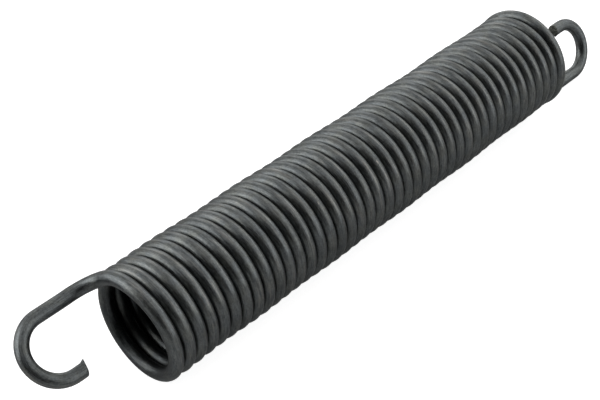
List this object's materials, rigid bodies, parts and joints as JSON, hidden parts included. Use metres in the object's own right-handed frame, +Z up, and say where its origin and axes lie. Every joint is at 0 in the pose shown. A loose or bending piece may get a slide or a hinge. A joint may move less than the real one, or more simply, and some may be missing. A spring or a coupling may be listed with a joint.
{
  "type": "extension spring",
  "caption": "Close-wound extension spring of dark steel wire with an open hook on a straight leg at each end.",
  "frame": {"origin": "centre of the bounding box, at the surface the spring lies on", "axes": "+X along the spring's axis from the front hook to the rear hook, +Z up, +Y away from the viewer of the picture"},
  "size_m": [0.194, 0.028, 0.0276],
  "materials": {
    "wire": "oil-tempered drawn wire, dark satin"
  },
  "bodies": {
    "root": {"spring": "wire"}
  },
  "joints": []
}
